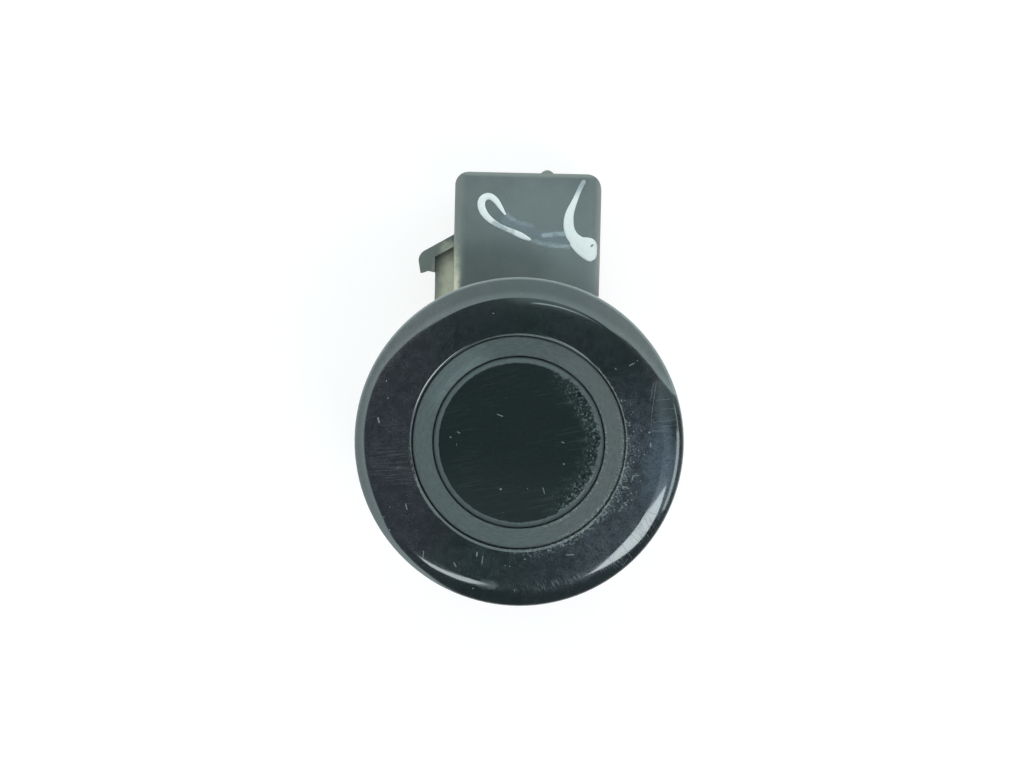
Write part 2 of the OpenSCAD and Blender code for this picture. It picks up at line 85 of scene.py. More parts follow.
camera = bpy.data.objects.new("camera", bpy.data.cameras.new("camera"))
scene.collection.objects.link(camera)
camera.matrix_world = Matrix.Translation(eye) @ Matrix((right, up, back)).transposed().to_4x4()
camera.data.lens = 100
camera.data.sensor_width = 36
camera.data.clip_start = 0.01
scene.camera = camera
print("camera", round((eye - aim).length, 4), "m from its aim")

# %% [markdown]
# ## Node helpers
# Nearly everything from here on is shading. Node trees are quicker to read as sums than as
# pictures, so a few small helpers make a node, work on numbers or vectors, step smoothly between
# two values, or blend two colours. Most hand back the socket that carries the result, so that it
# can go straight into the next one.

# %% Helpers for node trees
def put(socket, value):
    """Links a socket, or sets the input's own value."""
    if isinstance(value, bpy.types.NodeSocket):
        socket.id_data.links.new(value, socket)
    else:
        socket.default_value = value


def add(tree, kind, **inputs):
    """Makes a node; inputs are named with underscores for spaces."""
    node = tree.nodes.new(kind)
    for name, value in inputs.items():
        put(node.inputs[name.replace("_", " ")], value)
    return node


def calc(tree, operation, *values):
    """One sum on numbers."""
    node = tree.nodes.new("ShaderNodeMath")
    node.operation = operation
    for socket, value in zip(node.inputs, values):
        put(socket, value)
    return node.outputs[0]


def vector(tree, operation, *values):
    """One sum on vectors; a length or a dot product is a number."""
    node = tree.nodes.new("ShaderNodeVectorMath")
    node.operation = operation
    for socket, value in zip(node.inputs, values):
        put(socket, value)
    gives_number = operation in ("LENGTH", "DOT_PRODUCT")
    return node.outputs["Value" if gives_number else "Vector"]


def ramp(tree, value, low, high, to_low=0.0, to_high=1.0):
    """Smooth step from to_low to to_high while value runs from low to high."""
    node = tree.nodes.new("ShaderNodeMapRange")
    node.interpolation_type = "SMOOTHSTEP"
    for socket, number in zip(node.inputs, (value, low, high, to_low, to_high)):
        put(socket, number)
    return node.outputs[0]


def blend(tree, mask, below, above):
    """Colour below where mask is 0, above where it is 1."""
    node = tree.nodes.new("ShaderNodeMix")
    node.data_type = "RGBA"
    put(node.inputs[0], mask)
    # a Mix node has a set of sockets for each kind of data: 6, 7 and 2 are the colours
    for socket, value in ((node.inputs[6], below), (node.inputs[7], above)):
        put(socket, value if isinstance(value, bpy.types.NodeSocket) else (*value, 1.0))
    return node.outputs[2]


print("helpers ready")

# %% [markdown]
# ## The floor
# The sensor lies on a white sheet that photographs as plain white, with hardly a shadow. A white
# diffuse floor would be grey wherever the light falls off. Here a part of its brightness is
# ordinary diffuse white, which keeps the shadow, and the rest is a glow that the camera and
# mirror-like surfaces see. The sheet is a disc whose edge is extruded up into a low wall, so that
# low views still have white behind the sensor.

# %% Floor
SHEET_RADIUS, WALL_HEIGHT = 3, 0.5  # metres
SHEET_SIDES = 96
SHEET_GAP = 0.02 * MM  # keeps the sheet clear of the sensor's back
floor_z = cad_box[0][2] - SHEET_GAP

floor_mesh = bpy.data.meshes.new("floor")
shape = bmesh.new()
bmesh.ops.create_circle(shape, cap_ends=True, radius=SHEET_RADIUS, segments=SHEET_SIDES)
bmesh.ops.translate(shape, vec=(0, 0, floor_z), verts=shape.verts)
wall = bmesh.ops.extrude_edge_only(shape, edges=shape.edges)["geom"]
wall_top = [v for v in wall if isinstance(v, bmesh.types.BMVert)]
bmesh.ops.translate(shape, vec=(0, 0, WALL_HEIGHT), verts=wall_top)
shape.to_mesh(floor_mesh)
shape.free()
floor = bpy.data.objects.new("floor", floor_mesh)
scene.collection.objects.link(floor)

PAPER = (0.34, 0.305, 0.305, 1)
GLOW = 0.79
sheet = bpy.data.materials.new("white_sheet")
sheet.use_nodes = True
tree = sheet.node_tree
tree.nodes.clear()
ray = add(tree, "ShaderNodeLightPath")
mirrored = calc(tree, "MAXIMUM", ray.outputs["Is Glossy Ray"], ray.outputs["Is Transmission Ray"])
seen = calc(tree, "MAXIMUM", ray.outputs["Is Camera Ray"], mirrored)
paper = add(tree, "ShaderNodeBsdfDiffuse", Color=PAPER)
glow = add(tree, "ShaderNodeEmission", Strength=calc(tree, "MULTIPLY", seen, GLOW))
both = add(tree, "ShaderNodeAddShader")
put(both.inputs[0], paper.outputs[0])
put(both.inputs[1], glow.outputs[0])
put(add(tree, "ShaderNodeOutputMaterial").inputs[0], both.outputs[0])
floor_mesh.materials.append(sheet)
print("floor at", round(floor_z / MM, 2), "mm")

# %% [markdown]
# ## Effects that several finishes share
# Moulded plastic, silicone and paint all have fine grain; gloss and satin surfaces collect
# hairline scratches, single scores and specks; dust lies in patches. Each is one node group, used
# again and again with its own sizes. All of them work in millimetres, which is how one would
# measure such marks on the bench.

# %% A node group for each effect
def effect(name, inputs, output):
    """An empty shader group with its named inputs, and the node that its result goes into."""
    group = bpy.data.node_groups.new(name, "ShaderNodeTree")
    for label, kind, value in inputs:
        socket = group.interface.new_socket(label, in_out="INPUT", socket_type=kind)
        if value is not None:
            socket.default_value = value
    group.interface.new_socket(output, in_out="OUTPUT", socket_type="NodeSocketFloat")
    given = group.nodes.new("NodeGroupInput").outputs
    result = group.nodes.new("NodeGroupOutput").inputs[0]
    return group, given, result


def noise(tree, place, detail=3.0):
    """Noise with features about one unit across."""
    node = add(tree, "ShaderNodeTexNoise", Vector=place, Scale=1.0, Detail=detail, Roughness=0.55)
    return node.outputs[0]


grain, given, result = effect(
    "grain", [("Place", "NodeSocketVector", None), ("Size", "NodeSocketFloat", 1.0)], "Height"
)
put(result, noise(grain, vector(grain, "DIVIDE", given["Place"], given["Size"])))
print("grain:", len(grain.nodes), "nodes")

# %% [markdown]
# Hairlines are what a cloth leaves behind: long, thin, nearly parallel, and only in some places. A
# noise that is squeezed across and stretched along gives threads; a high threshold keeps the
# strongest of them, and a second, coarse noise breaks them into patches.

# %% Hairlines
hairlines, given, result = effect(
    "hairlines",
    [
        ("Place", "NodeSocketVector", None),
        ("Turn", "NodeSocketFloat", 0.0),
        ("Spacing", "NodeSocketFloat", 0.2),
        ("Threshold", "NodeSocketFloat", 0.66),
    ],
    "Mask",
)
STRETCH = (1, 0.03, 0.03)
PATCH_SIZE = (2.6, 4.0, 4.0)
FADE = 0.05  # how far above the threshold a thread is at its full strength
turned = add(hairlines, "ShaderNodeVectorRotate", Vector=given["Place"], Angle=given["Turn"])
turned = turned.outputs[0]
threads = vector(hairlines, "DIVIDE", turned, given["Spacing"])
threads = noise(hairlines, vector(hairlines, "MULTIPLY", threads, STRETCH), 2.0)
full = calc(hairlines, "ADD", given["Threshold"], FADE)
threads = ramp(hairlines, threads, given["Threshold"], full)
patches = noise(hairlines, vector(hairlines, "DIVIDE", turned, PATCH_SIZE), 1.0)
patches = ramp(hairlines, patches, 0.42, 0.62)
put(result, calc(hairlines, "MULTIPLY", threads, patches))
print("hairlines:", len(hairlines.nodes), "nodes")

# %% [markdown]
# A single score is the distance to a straight piece between two points. Clamping the foot of the
# perpendicular between the ends keeps it from running on. On a curved face the mark has to follow
# the height, so the distance can be told which directions to heed. Marks waver because the place
# that they are given is shaken first: one noise then serves a whole set of marks.

# %% Scores and brush marks
score, given, result = effect(
    "score",
    [
        ("Place", "NodeSocketVector", None),
        ("Start", "NodeSocketVector", None),
        ("End", "NodeSocketVector", None),
        ("Width", "NodeSocketFloat", 0.1),
        ("Softness", "NodeSocketFloat", 0.05),
        ("Heed", "NodeSocketVector", (1.0, 1.0, 1.0)),
    ],
    "Mask",
)
from_start = vector(score, "SUBTRACT", given["Place"], given["Start"])
along = vector(score, "SUBTRACT", given["End"], given["Start"])
length = vector(score, "DOT_PRODUCT", along, along)
share = calc(score, "DIVIDE", vector(score, "DOT_PRODUCT", from_start, along), length)
foot = vector(score, "SCALE", along)
put(foot.node.inputs["Scale"], add(score, "ShaderNodeClamp", Value=share).outputs[0])
away = vector(score, "MULTIPLY", vector(score, "SUBTRACT", from_start, foot), given["Heed"])
edge = calc(score, "MULTIPLY", given["Width"], 0.5)
faded = calc(score, "ADD", edge, given["Softness"])
put(result, ramp(score, vector(score, "LENGTH", away), faded, edge))
print("score:", len(score.nodes), "nodes")

# %% [markdown]
# Specks of dust and grit are the cells of a Voronoi texture, shrunk to dots. Each cell's own
# random colour decides whether it holds a speck at all, so that they lie as unevenly as real dust.
# A little noise on the place crumples the dots into crumbs.

# %% Specks
specks, given, result = effect(
    "specks",
    [
        ("Place", "NodeSocketVector", None),
        ("Spacing", "NodeSocketFloat", 0.5),
        ("Size", "NodeSocketFloat", 0.25),
        ("Share", "NodeSocketFloat", 0.2),
    ],
    "Mask",
)
spread = vector(specks, "DIVIDE", given["Place"], given["Spacing"])
crumpled = add(specks, "ShaderNodeTexNoise", Vector=spread, Scale=2.6, Detail=2.0).outputs["Color"]
crumpled = vector(specks, "ADD", spread, vector(specks, "MULTIPLY", crumpled, (0.5, 0.5, 0.5)))
cell = add(specks, "ShaderNodeTexVoronoi", Vector=crumpled, Scale=1.0)
core = calc(specks, "MULTIPLY", given["Size"], 0.5)
dot = ramp(specks, cell.outputs["Distance"], given["Size"], core)
chance = add(specks, "ShaderNodeSeparateColor", Color=cell.outputs["Color"]).outputs[0]
put(result, calc(specks, "MULTIPLY", dot, calc(specks, "LESS_THAN", chance, given["Share"])))
print("specks:", len(specks.nodes), "nodes")

# %% [markdown]
# A patch limits an effect to a place: a soft ball round a centre, with an edge that noise pulls in
# and out.

# %% Patches
patch, given, result = effect(
    "patch",
    [
        ("Place", "NodeSocketVector", None),
        ("Centre", "NodeSocketVector", None),
        ("Reach", "NodeSocketVector", (1.0, 1.0, 1.0)),
        ("Ragged", "NodeSocketFloat", 0.5),
    ],
    "Mask",
)
TEAR_SIZE = (0.9, 0.9, 0.9)
away = vector(patch, "SUBTRACT", given["Place"], given["Centre"])
away = vector(patch, "LENGTH", vector(patch, "DIVIDE", away, given["Reach"]))
tear = noise(patch, vector(patch, "DIVIDE", given["Place"], TEAR_SIZE))
tear = calc(patch, "MULTIPLY", calc(patch, "SUBTRACT", tear, 0.5), given["Ragged"])
put(result, ramp(patch, calc(patch, "ADD", away, tear), 1.0, 0.4))
print("patch:", len(patch.nodes), "nodes")

# %% [markdown]
# ## What the gloss paint sees
# A gloss black bezel has almost no colour of its own: it shows the room. Its face is dark, so what
# hangs straight overhead is dark. Its rounded rim shows a grey band along the top and down the
# left side, so the room is bright there, and a thin pale line all the way round, so the horizon is
# bright everywhere. Reading where the band begins gives the edge of the bright part, as an angle
# from straight up, for each direction. A colour ramp stores exactly such a list, and the dome
# compares each ray with it. The band is brightest along that edge, and it is a little brighter low
# down and at the right.

# %% World
world = bpy.data.worlds.new("studio_dome")
scene.world = world
world.use_nodes = True
tree = world.node_tree
tree.nodes.clear()
ray_way = add(tree, "ShaderNodeTexCoord").outputs["Generated"]
way = add(tree, "ShaderNodeSeparateXYZ", Vector=ray_way).outputs
from_top = calc(tree, "MULTIPLY", calc(tree, "ARCCOSINE", way["Z"]), 180 / pi)
clock = calc(tree, "MULTIPLY_ADD", calc(tree, "ARCTAN2", way["X"], way["Y"]), 0.5 / pi, 0.5)

ANGLE_UNIT = 100  # colours run from 0 to 1, so the ramp stores hundreds of degrees
bright_from = [  # direction on the clock and angle from straight up, in degrees
    (-180, 79), (-160, 78.5), (-150, 73), (-140, 67.5), (-131, 63), (-125, 54.6), (-120, 49.8),
    (-114, 47.4), (-85, 46.8), (-72, 44.4), (-66, 38), (-60, 29), (-54, 19.6), (-46, 14.6),
    (-38, 11.4), (-23, 7.4), (0, 6.4), (20, 6.4), (36, 8), (45, 13.5), (54, 21), (62, 30.5),
    (68, 40.5), (73, 58), (77, 75), (100, 76), (180, 79),
]
edge = add(tree, "ShaderNodeValToRGB", Fac=clock)
edge.color_ramp.interpolation = "CARDINAL"
for degrees, _ in bright_from[1:-1]:
    edge.color_ramp.elements.new(degrees / 360 + 0.5)
for element, (_, angle) in zip(edge.color_ramp.elements, bright_from):
    stored = angle / ANGLE_UNIT
    element.color = (stored, stored, stored, 1)
inside = calc(tree, "SUBTRACT", from_top, calc(tree, "MULTIPLY", edge.outputs[0], ANGLE_UNIT))
near_edge = ramp(tree, inside, 2, 28, 1.42, 0.94)
low_down = ramp(tree, from_top, 62, 78, 0, 0.25)
rightward = calc(tree, "MULTIPLY_ADD", way["X"], 0.18, 1.0)
level = calc(tree, "MULTIPLY", calc(tree, "ADD", near_edge, low_down), rightward)
band = calc(tree, "MULTIPLY", ramp(tree, inside, -2.0, 2.0), level)
BAND_LIGHT = (0.915, 1.155, 1.15)
OVERHEAD_LIGHT = (0.085, 0.125, 0.13)
sky = vector(tree, "MULTIPLY_ADD", band, BAND_LIGHT, OVERHEAD_LIGHT)
print("dome:", len(tree.nodes), "nodes")

# %% [markdown]
# ## Windows
# The rim also mirrors three windows: a large one at the lower right, a strip beside it that gives
# a thin line along the right, and a narrow one that gives the arc at the lower left. The normal at
# each corner of a highlight lies halfway between the camera and what it mirrors, so the corners
# can be traced back to a level ceiling. Area lamps are only rectangles or discs, and these windows
# lean. A pane in the dome can have any corners: it is the inside of all its edges. A cool glow
# round the large window comes from the dust in the air and on the face.

# %% Panes
def pane(spot, corners, softness):
    """Mask of a window on a ceiling one unit up; its corners go anticlockwise."""
    mask = 1.0
    for (x0, y0), (x1, y1) in zip(corners, corners[1:] + corners[:1]):
        outward = Vector((y1 - y0, x0 - x1, 0)).normalized()
        past = vector(tree, "DOT_PRODUCT", vector(tree, "SUBTRACT", spot, (x0, y0, 0)), outward)
        mask = calc(tree, "MULTIPLY", ramp(tree, past, softness, -softness), mask)
    return mask


LOWEST = 0.05  # rays below this height never reach the ceiling
ceiling = vector(tree, "DIVIDE", ray_way, calc(tree, "MAXIMUM", way["Z"], LOWEST))
ceiling = vector(tree, "MULTIPLY", ceiling, (1, 1, 0))
large_window = [
    (0.185, -0.205), (0.19, -0.50), (0.30, -0.585), (0.53, -0.735),
    (0.76, -0.83), (0.95, -0.84), (0.96, -0.59), (0.77, -0.305),
]
side_strip = [(1.36, 0.02), (1.33, -0.76), (1.98, -1.06), (2.02, 0.02)]
side_end = [(1.60, 0.34), (1.62, 0.0), (1.92, 0.0), (1.80, 0.34)]
front_strip = [(-0.10, -0.34), (-0.52, -0.66), (-0.48, -0.745), (-0.22, -0.585), (-0.10, -0.42)]
for corners, softness, light in (
    (large_window, 0.015, (4.3, 4.8, 4.85)),
    (side_strip, 0.03, (2.3, 2.6, 2.6)),
    (side_end, 0.03, (1.4, 1.6, 1.6)),
    (front_strip, 0.015, (3.9, 4.4, 4.45)),
):
    sky = vector(tree, "MULTIPLY_ADD", pane(ceiling, corners, softness), light, sky)
halo = tree.nodes.new("ShaderNodeGroup")
halo.node_tree = score
halo_line = {"Start": (0.42, -0.3, 0), "End": (1.5, -0.45, 0), "Width": 0.2, "Softness": 0.34}
for label, value in {"Place": ceiling, **halo_line}.items():
    put(halo.inputs[label], value)
HALO_LIGHT = (0.24, 0.36, 0.50)
sky = vector(tree, "MULTIPLY_ADD", halo.outputs[0], HALO_LIGHT, sky)
dome = add(tree, "ShaderNodeBackground", Color=sky)
put(add(tree, "ShaderNodeOutputWorld").inputs[0], dome.outputs[0])
print("dome with panes:", len(tree.nodes), "nodes")

# %% [markdown]
# ## Starting a finish
# Every material begins the same way: a Principled shader and the Object coordinate, brought to
# millimetres. A small class keeps the pieces together, so that the cells below read like a recipe.

# %% Recipe for a finish
class Finish:
    """A material with its shader and its place in millimetres."""

    def __init__(self, name, roughness, **constants):
        self.material = bpy.data.materials.new(name)
        self.material.use_nodes = True
        self.tree = self.material.node_tree
        self.shader = self.tree.nodes["Principled BSDF"]
        self.shader.inputs["Roughness"].default_value = roughness
        for label, value in constants.items():
            self.shader.inputs[label.replace("_", " ")].default_value = value
        spot = add(self.tree, "ShaderNodeTexCoord")
        self.place = vector(self.tree, "MULTIPLY", spot.outputs["Object"], [1 / MM] * 3)
        self.facing = spot.outputs["Normal"]

    def use(self, group, **inputs):
        """One of the shared effects, at this place unless another is given."""
        node = self.tree.nodes.new("ShaderNodeGroup")
        node.node_tree = group
        put(node.inputs["Place"], self.place)
        for label, value in inputs.items():
            put(node.inputs[label], value)
        return node.outputs[0]

    def most(self, *masks):
        """The strongest of several masks."""
        total = masks[0]
        for mask in masks[1:]:
            total = calc(self.tree, "MAXIMUM", total, mask)
        return total

    def times(self, *values):
        """The product of several masks and numbers."""
        total = values[0]
        for value in values[1:]:
            total = calc(self.tree, "MULTIPLY", total, value)
        return total

    def scores(self, marks, level, waver, **inputs):
        """Several marks, each (x, y, x, y, width), on one level, shaken by so many millimetres."""
        shake = add(self.tree, "ShaderNodeTexNoise", Vector=self.place, Scale=3.2, Detail=4.0)
        shake = vector(self.tree, "SUBTRACT", shake.outputs["Color"], (0.5, 0.5, 0.5))
        shaken = vector(self.tree, "MULTIPLY_ADD", shake, (waver, waver, waver), self.place)
        found = []
        for x0, y0, x1, y1, width in marks:
            ends = {"Start": (x0, y0, level), "End": (x1, y1, level)}
            found.append(self.use(score, Place=shaken, Width=width, **ends, **inputs))
        return self.most(*found)

    def axis(self, name):
        """One coordinate of the place."""
        return add(self.tree, "ShaderNodeSeparateXYZ", Vector=self.place).outputs[name]

    def radius(self):
        """Distance from the sensing axis."""
        return vector(self.tree, "LENGTH", vector(self.tree, "MULTIPLY", self.place, (1, 1, 0)))

    def relief(self, height, depth):
        """Bump of so many millimetres."""
        node = add(self.tree, "ShaderNodeBump", Height=height, Distance=depth * MM)
        put(self.shader.inputs["Normal"], node.outputs[0])

    def give(self, **results):
        """Sends results to the shader and hands back the material."""
        for label, value in results.items():
            put(self.shader.inputs[label.replace("_", " ")], value)
        return self.material


finishes = {}
print("recipe ready")

# %% [markdown]
# ## Bezel: gloss black paint
# The bezel is moulded plastic with a gloss black lacquer. Lacquer is two layers, so the shader
# gets a coat; behind the flange the plastic is bare. It has been wiped and handled. Each kind of
# mark first becomes a mask, and all of them are coloured together at the end. The first are
# hairlines: faint ones everywhere, a brushed patch at the left and a cross-hatched one at the
# lower right.

# %% Bezel: wiped lacquer
bezel = Finish("bezel_lacquer", 0.16, Coat_Roughness=0.03, Coat_IOR=1.7, IOR=1.5)
tree = bezel.tree
front = ramp(tree, bezel.axis("Z"), -0.3, 0.1)
cloudy = bezel.use(grain, Size=5.0)
brushed = bezel.use(patch, Centre=(-11.2, -1.6, 2.5), Reach=(3.4, 5.4, 4.0), Ragged=0.6)
rubbed = bezel.use(patch, Centre=(9.6, -8.4, 2.5), Reach=(5.0, 5.0, 4.0), Ragged=0.6)
crossed = bezel.most(
    bezel.use(hairlines, Turn=0.75, Spacing=0.07, Threshold=0.55),
    bezel.use(hairlines, Turn=-0.5, Spacing=0.08, Threshold=0.56),
)
crossed = bezel.times(crossed, rubbed)
wiped = bezel.most(
    bezel.times(bezel.use(hairlines, Turn=0.35, Spacing=0.07, Threshold=0.62), 0.5),
    bezel.times(bezel.use(hairlines, Turn=-1.25, Spacing=0.07, Threshold=0.63), 0.5),
    bezel.times(bezel.use(hairlines, Turn=1.48, Spacing=0.1, Threshold=0.5), brushed, 0.8),
    crossed,
)
print("bezel, wiped:", len(tree.nodes), "nodes")

# %% [markdown]
# Nicks and scratches are single scores, each with two ends and a width in millimetres. The face is
# crowned and the rim falls away, so the scores hardly heed the height.

# %% Bezel: nicks and scratches
FACE_Z = 2.5  # mm
followed = {"level": FACE_Z, "Heed": (1, 1, 0.02)}
nicks = bezel.scores(
    [
        (-12.81, 1.91, -12.68, 1.52, 0.08),
        (-12.13, 5.32, -12.12, 5.29, 0.05),
        (-12.12, -7.11, -12.10, -7.13, 0.05),
        (-11.58, -8.28, -11.56, -8.30, 0.06),
        (-11.56, -6.18, -11.55, -6.22, 0.02),
        (-10.12, -5.85, -10.01, -6.32, 0.05),
        (-8.42, -10.11, -8.46, -10.75, 0.02),
        (-5.62, -11.08, -5.41, -11.43, 0.04),
        (-3.56, -10.40, -3.52, -10.08, 0.07),
        (-2.97, -10.41, -3.07, -11.09, 0.03),
        (-3.82, -13.40, -3.80, -13.42, 0.05),
        (-0.94, -11.20, -0.92, -11.21, 0.03),
        (-0.55, -11.30, -0.50, -11.29, 0.04),
        (0.89, -10.54, 0.80, -10.60, 0.04),
        (4.32, -9.22, 4.33, -9.24, 0.09),
        (4.62, -10.08, 5.25, -10.05, 0.03),
        (9.22, 4.12, 9.26, 4.00, 0.06),
        (8.63, 6.92, 8.65, 6.90, 0.06),
        (10.28, 7.45, 9.89, 7.25, 0.02),
        (10.41, 1.27, 10.42, 1.25, 0.05),
        (10.40, -0.34, 10.41, -0.36, 0.05),
        (10.46, -1.48, 10.47, -1.50, 0.08),
        (10.36, -3.14, 10.44, -2.75, 0.03),
        (10.44, -2.75, 10.97, -2.69, 0.02),
        (10.32, -4.31, 10.33, -4.33, 0.06),
        (9.56, -3.91, 9.76, -3.74, 0.03),
        (9.76, -3.74, 10.10, -3.90, 0.03),
        (11.81, 1.24, 11.83, 1.22, 0.10),
        (11.99, -0.07, 11.95, 0.26, 0.04),
    ],
    waver=0.12, Softness=0.05, **followed,
)
scratches = bezel.scores(
    [
        (12.32, 5.73, 12.05, 3.36, 0.02),
        (12.05, 3.36, 11.96, 1.78, 0.01),
        (12.05, 5.72, 11.84, 4.14, 0.02),
        (12.33, 4.15, 13.60, 4.29, 0.0),
        (12.84, 3.37, 14.11, 3.45, 0.0),
        (12.18, 2.18, 14.14, 2.42, 0.0),
        (12.98, 1.80, 14.35, 1.94, 0.0),
        (11.81, 1.38, 13.37, 1.39, 0.0),
        (10.28, -7.94, 11.29, -8.90, 0.01),
        (11.05, -7.52, 12.06, -8.28, 0.01),
        (9.31, -8.56, 10.53, -10.30, 0.01),
        (8.17, -10.17, 9.37, -11.13, 0.01),
        (11.60, -5.90, 12.90, -6.30, 0.01),
        (6.15, -8.93, 7.41, -9.82, 0.0),
        (9.28, -10.54, 9.74, -10.99, 0.02),
        (9.74, -10.99, 10.19, -10.36, 0.02),
    ],
    waver=0.12, Softness=0.04, **followed,
)
print("bezel, scored:", len(tree.nodes), "nodes")

# %% [markdown]
# One long pale arc at the top follows a circle, so it is the distance to one. The lower rim is
# scuffed
# outwards: its grain is fed the way round and the radius instead of x and y, and stretched along
# the radius. The scuff marks are painted pale only where the rim mirrors the windows, a painted
# glint.
# The thin pale lines along the rim's outer edge and along the top of the bore are painted
# highlights, strongest at the top.

# %% Bezel: arc, scuffs and painted edge highlights
across, ahead = bezel.axis("X"), bezel.axis("Y")
ARC_CENTRE, ARC_RADIUS = (0.5, 0.05, 0), 12.65
from_centre = vector(tree, "SUBTRACT", bezel.place, ARC_CENTRE)
from_centre = vector(tree, "LENGTH", vector(tree, "MULTIPLY", from_centre, (1, 1, 0)))
off_arc = calc(tree, "ABSOLUTE", calc(tree, "SUBTRACT", from_centre, ARC_RADIUS))
arc = bezel.times(ramp(tree, off_arc, 0.09, 0.02), ramp(tree, ahead, 8, 9))
arc = bezel.times(arc, ramp(tree, across, 0.6, 1.6), ramp(tree, across, 8.2, 2.6))
RIM_RADIUS = 13  # turns the angle round the rim into millimetres
round_way = calc(tree, "MULTIPLY", calc(tree, "ARCTAN2", ahead, across), RIM_RADIUS)
polar = add(tree, "ShaderNodeCombineXYZ", X=round_way, Y=bezel.radius()).outputs[0]
fanned = add(tree, "ShaderNodeVectorRotate", Vector=polar, Angle=0.3).outputs[0]
SCUFF_SIZE = (0.09, 0.8, 1.0)
fanned = vector(tree, "DIVIDE", fanned, SCUFF_SIZE)
scuff_glints = ramp(tree, bezel.use(grain, Place=fanned), 0.5, 0.64)
# painted glint: the scuff marks are kept to where the rim mirrors the windows
scuff_glints = bezel.times(scuff_glints, ramp(tree, bezel.radius(), 12.4, 13.1))
scuff_glints = bezel.times(scuff_glints, ramp(tree, bezel.radius(), 14.2, 13.4))
scuff_glints = bezel.times(scuff_glints, ramp(tree, ahead, -9.0, -11.0))
scuff_glints = bezel.times(scuff_glints, ramp(tree, across, -1.5, 1.5), ramp(tree, across, 8.5, 5.5))
smear = bezel.use(patch, Centre=(-2.4, -13.0, 2.2), Reach=(1.3, 0.55, 3.0), Ragged=1.2)
# painted highlights on the rim's outer edge and along the top of the bore
rim_highlight = ramp(tree, bezel.radius(), 14.72, 14.94)
rim_highlight = bezel.times(rim_highlight, ramp(tree, ahead, -6, 12, 0.1, 1.0))
rim_highlight = bezel.times(rim_highlight, ramp(tree, bezel.axis("Z"), 1.78, 1.92))
bore_highlight = bezel.times(ramp(tree, bezel.radius(), 9.94, 9.86), ramp(tree, ahead, 6.0, 8.5))
bore_highlight = bezel.times(bore_highlight, ramp(tree, across, -3.0, 1.0, 0.3, 1.0))
print("bezel, rubbed:", len(tree.nodes), "nodes")

# %% [markdown]
# Dust comes in three kinds: a cool film at the right, crumbs that gather along the bore, and
# single specks. The film is partly dust and partly a painted glow beside the large highlight. The
# crumbs are a fine grain cut off at a threshold, which is lower where they should lie thickly.

# %% Bezel: dust and crumbs
hatched = bezel.use(patch, Centre=(13.3, 4.0, 2.2), Reach=(1.6, 3.6, 3.0), Ragged=0.7)
# a cool film of dust, partly a painted glow beside the large highlight
film = bezel.use(patch, Centre=(13.0, -1.8, 2.5), Reach=(2.3, 5.4, 3.0), Ragged=0.9)
film = bezel.times(film, ramp(tree, bezel.use(grain, Size=0.3), 0.3, 0.7, 0.5, 1.0))
crumbly = bezel.use(patch, Centre=(9.6, -3.4, 2.7), Reach=(4.2, 9.0, 4.0), Ragged=1.2)
crumbly = bezel.times(ramp(tree, bezel.radius(), 12.4, 9.9), crumbly)
clumps = ramp(tree, bezel.use(grain, Size=1.0), 0.4, 0.65, 0.0, 0.10)
litter = calc(tree, "ADD", clumps, bezel.use(grain, Size=0.19))
litter = calc(tree, "MULTIPLY_ADD", crumbly, 0.12, litter)
crumbs = bezel.times(ramp(tree, litter, 0.74, 0.80), ramp(tree, crumbly, 0.05, 0.3))
bore_edge = bezel.use(patch, Centre=(7.0, -6.5, 2.7), Reach=(10.0, 10.0, 4.0), Ragged=0.8)
bore_edge = bezel.times(ramp(tree, bezel.radius(), 10.8, 9.9), bore_edge)
bore_crumbs = bezel.times(ramp(tree, bezel.use(grain, Size=0.17), 0.53, 0.59), bore_edge)
strays = bezel.use(specks, Spacing=1.2, Size=0.06, Share=0.3)
dust =bezel.use(specks, Spacing=0.42, Size=0.11, Share=0.2)
print("bezel, dusty:", len(tree.nodes), "nodes")

# %% [markdown]
# Now the layers are coloured, from the lowest up: the black, lighter and purple-brown towards the
# left, the hazes that lift it, which are partly fine wear and partly a painted glow round the
# highlights, a painted sheen on the rim's upper shoulder, a fine mottling that multiplies it, the
# films, and last the pale marks. Where the lacquer is torn, its coat is thinner and rougher.

# %% Bezel finish
strengths = (
    (wiped, 0.08), (nicks, 0.6), (scratches, 0.2), (arc, 0.75), (crumbs, 0.55), (strays, 0.6),
    (dust, 0.13), (scuff_glints, 0.15), (smear, 0.2), (rim_highlight, 0.6), (bore_crumbs, 0.55),
    (bore_highlight, 0.5),
)
marks = bezel.most(*[bezel.times(mask, strength) for mask, strength in strengths])
torn = bezel.most(bezel.times(wiped, 0.7), bezel.times(smear, 0.5), bezel.times(crumbs, 0.8))
torn = bezel.most(torn, nicks, scratches, scuff_glints)
# the face is lighter and purple-brown towards the left
purple_left = ramp(tree, across, -4, -10)
colour = blend(
    tree, ramp(tree, cloudy, 0.38, 0.62), (0.0080, 0.0125, 0.0125), (0.0120, 0.0140, 0.0160)
)
colour = blend(tree, bezel.times(purple_left, 0.6), colour, (0.038, 0.032, 0.041))
# hazes of fine wear, partly a painted glow round the lower-right and bottom highlights
haze_and_glow = bezel.use(patch, Centre=(11.0, -5.0, 2.5), Reach=(13.0, 13.5, 6.0), Ragged=0.6)
haze_and_glow = bezel.times(haze_and_glow, ramp(tree, bezel.radius(), 14.3, 13.5, 0.25, 1.0))
colour = blend(tree, bezel.times(haze_and_glow, 0.9), colour, (0.045, 0.047, 0.058))
low_haze_and_glow = bezel.use(patch, Centre=(-2.0, -13.0, 2.5), Reach=(10.0, 6.0, 6.0), Ragged=0.6)
low_haze_and_glow = bezel.times(low_haze_and_glow, ramp(tree, bezel.radius(), 13.8, 13.1))
colour = blend(tree, bezel.times(low_haze_and_glow, 0.4), colour, (0.034, 0.042, 0.045))
